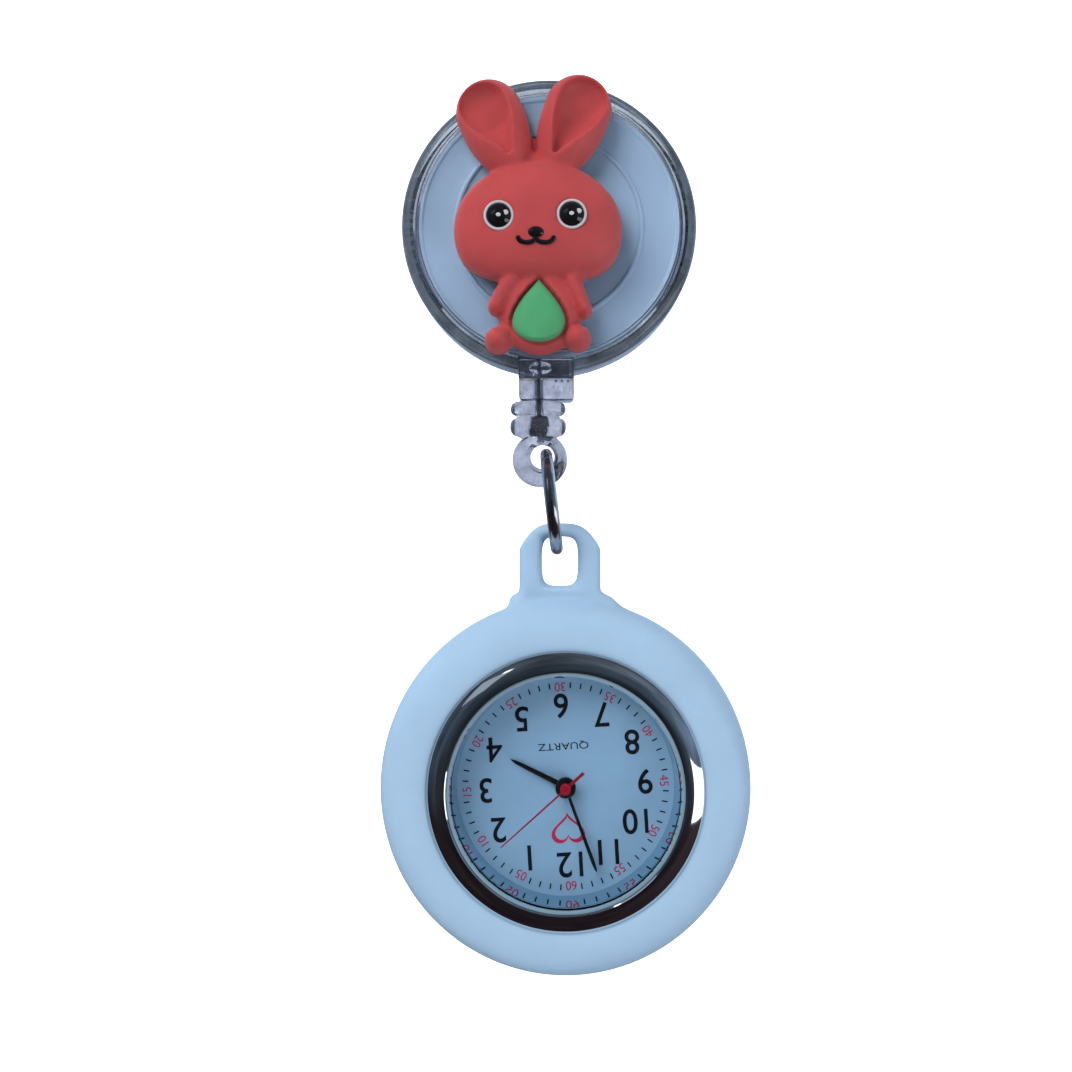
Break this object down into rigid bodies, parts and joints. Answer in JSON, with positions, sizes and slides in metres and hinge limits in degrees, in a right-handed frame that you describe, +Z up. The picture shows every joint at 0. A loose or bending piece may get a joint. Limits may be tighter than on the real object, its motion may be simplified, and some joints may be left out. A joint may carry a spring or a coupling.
{
  "type": "fob watch",
  "caption": "Fob watch in a soft cover, hanging by a ring from a retractable reel that has a rabbit charm on its front and a garment clip on its back.",
  "frame": {"origin": "where the tips of the clip's jaws close on the garment", "axes": "+Z up along the hanging watch's length, -Y out of the dial towards the viewer, +X to the viewer's right"},
  "size_m": [0.0409, 0.0218, 0.0983],
  "materials": {
    "clear_plastic": "clear moulded plastic, polished",
    "white_plastic": "smooth moulded plastic",
    "black_cord": "fine braided cord",
    "charm_red": "soft matte moulding",
    "charm_green": "soft satin moulding",
    "charm_white": "glossy enamel",
    "charm_black": "glossy enamel",
    "dark_steel": "polished dark nickel",
    "clip_steel": "nickel plated sheet",
    "spring_steel": "drawn wire and strip",
    "blue_silicone": "satin silicone rubber",
    "polished_case": "mirror polished plating",
    "crystal_glass": "clear mineral glass",
    "gasket": "pale nylon",
    "mirror_flange": "mirror plated",
    "dial_blue": "fine matte print",
    "hand_black": "black lacquer",
    "hand_red": "red lacquer",
    "case_back_steel": "circular brushed",
    "movement_plastic": "moulded plastic",
    "movement_brass": "fine grained plating",
    "movement_steel": "fine grained",
    "board_green": "solder mask",
    "coil_copper": "lacquered copper wire",
    "battery_steel": "bright rolled steel",
    "black_rubber": "moulded rubber",
    "black_resin": "cast resin"
  },
  "bodies": {
    "clip": {"clip_base_jaw": "clip_steel", "clip_pivot_pin": "clip_steel", "clip_spring": "spring_steel", "swivel_washer": "clip_steel", "swivel_rivet": "clip_steel"},
    "clip_lever": {"clip_lever_jaw": "clip_steel"},
    "reel": {"reel_front_cover": "clear_plastic", "reel_rear_cover": "white_plastic", "nozzle": "clear_plastic", "return_spring": "spring_steel", "cord_feed": "black_cord", "rabbit_moulding": "charm_red", "tummy_inlay": "charm_green", "eye_rings": "charm_white", "eye_pupils": "charm_black", "nose_and_mouth": "charm_black"},
    "spool": {"spool": "white_plastic", "cord_winding": "black_cord"},
    "end_link": {"end_link": "clear_plastic", "cord_knot": "black_cord", "cord_lead": "black_cord"},
    "ring": {"link_ring": "dark_steel"},
    "watch": {"silicone_cover": "blue_silicone", "watch_case": "polished_case", "crystal": "crystal_glass", "crystal_gasket": "gasket", "flange_ring": "mirror_flange", "dial": "dial_blue", "case_back": "case_back_steel", "case_back_gasket": "black_rubber", "movement_ring": "movement_plastic", "main_plate": "movement_brass", "train_bridge": "movement_steel", "battery_strap": "movement_steel", "battery": "battery_steel", "movement_screws": "movement_steel", "stator": "movement_steel", "motor_coil": "coil_copper", "circuit_board": "board_green", "quartz_can": "battery_steel", "watch_chip": "black_resin"},
    "second_train": {"second_wheel": "movement_plastic", "second_hand": "hand_red"},
    "minute_train": {"centre_wheel": "movement_brass", "minute_hand": "hand_black"},
    "hour_train": {"hour_wheel": "movement_plastic", "hour_hand": "hand_black"},
    "rotor": {"rotor": "movement_steel"},
    "intermediate": {"intermediate_wheel": "movement_plastic"},
    "third": {"third_wheel": "movement_plastic"},
    "minute_wheel": {"minute_wheel": "movement_plastic"},
    "setting": {"setting_lever": "movement_steel"},
    "crown": {"crown": "polished_case", "winding_stem": "movement_steel"}
  },
  "joints": [
    {"name": "jaw_open", "type": "hinge", "parent": "clip", "child": "clip_lever", "pos_m": [0, 0.0006, 0.011], "axis": [1, 0, 0], "range_deg": [0, 25], "stiffness_Nm_per_rad": 0.05, "springref_deg": -57.3},
    {"name": "clip_swivel", "type": "hinge", "parent": "clip", "child": "reel", "pos_m": [0, -0.0032, 0.01], "axis": [0, 1, 0], "continuous": true},
    {"name": "cord_pull", "type": "slide", "parent": "reel", "child": "end_link", "axis": [0, 0, -1], "range_m": [0, 0.6], "stiffness_N_per_m": 1.5, "springref_m": -0.6, "deforming": ["cord_lead"]},
    {"name": "spool_spin", "type": "hinge", "parent": "reel", "child": "spool", "pos_m": [0, -0.0075, 0.01], "axis": [0, 1, 0], "range_deg": [0, 3440]},
    {"name": "ring_swing", "type": "hinge", "parent": "end_link", "child": "ring", "pos_m": [-0.00075, -0.0075, -0.0153], "axis": [0, 1, 0], "range_deg": [-40, 40]},
    {"name": "watch_flip", "type": "hinge", "parent": "ring", "child": "watch", "pos_m": [0.00025, -0.0075, -0.0203], "axis": [0.9936, 0, 0.1132], "range_deg": [-90, 90]},
    {"name": "second_hand_turn", "type": "hinge", "parent": "watch", "child": "second_train", "pos_m": [0.00182, -0.0075, -0.05165], "axis": [0, 1, 0], "continuous": true},
    {"name": "minute_hand_turn", "type": "hinge", "parent": "watch", "child": "minute_train", "pos_m": [0.00182, -0.0075, -0.05165], "axis": [0, 1, 0], "continuous": true},
    {"name": "hour_hand_turn", "type": "hinge", "parent": "watch", "child": "hour_train", "pos_m": [0.00182, -0.0075, -0.05165], "axis": [0, 1, 0], "continuous": true},
    {"name": "third_wheel_turn", "type": "hinge", "parent": "watch", "child": "third", "pos_m": [0.00075, -0.0075, -0.04917], "axis": [0, 1, 0], "continuous": true},
    {"name": "intermediate_wheel_turn", "type": "hinge", "parent": "watch", "child": "intermediate", "pos_m": [0.00361, -0.0075, -0.05391], "axis": [0, 1, 0], "continuous": true},
    {"name": "rotor_turn", "type": "hinge", "parent": "watch", "child": "rotor", "pos_m": [0.00399, -0.0075, -0.05554], "axis": [0, 1, 0], "continuous": true},
    {"name": "minute_wheel_turn", "type": "hinge", "parent": "watch", "child": "minute_wheel", "pos_m": [0.00085, -0.0075, -0.05358], "axis": [0, 1, 0], "continuous": true},
    {"name": "crown_pull", "type": "slide", "parent": "watch", "child": "setting", "axis": [-0.9983, 0, -0.0576], "range_m": [0, 0.0006]},
    {"name": "crown_turn", "type": "hinge", "parent": "setting", "child": "crown", "pos_m": [-0.0147, -0.0063, -0.0526], "axis": [-0.9983, 0, -0.0576], "continuous": true}
  ],
  "couplings": [
    {"joint": "spool_spin", "follows": "cord_pull", "rad_per_m": 100},
    {"joint": "minute_hand_turn", "follows": "second_hand_turn", "ratio": 0.016667},
    {"joint": "hour_hand_turn", "follows": "second_hand_turn", "ratio": 0.0013889},
    {"joint": "third_wheel_turn", "follows": "second_hand_turn", "ratio": -0.13333},
    {"joint": "intermediate_wheel_turn", "follows": "second_hand_turn", "ratio": -5},
    {"joint": "rotor_turn", "follows": "second_hand_turn", "ratio": 30},
    {"joint": "minute_wheel_turn", "follows": "second_hand_turn", "ratio": -0.0055556}
  ]
}
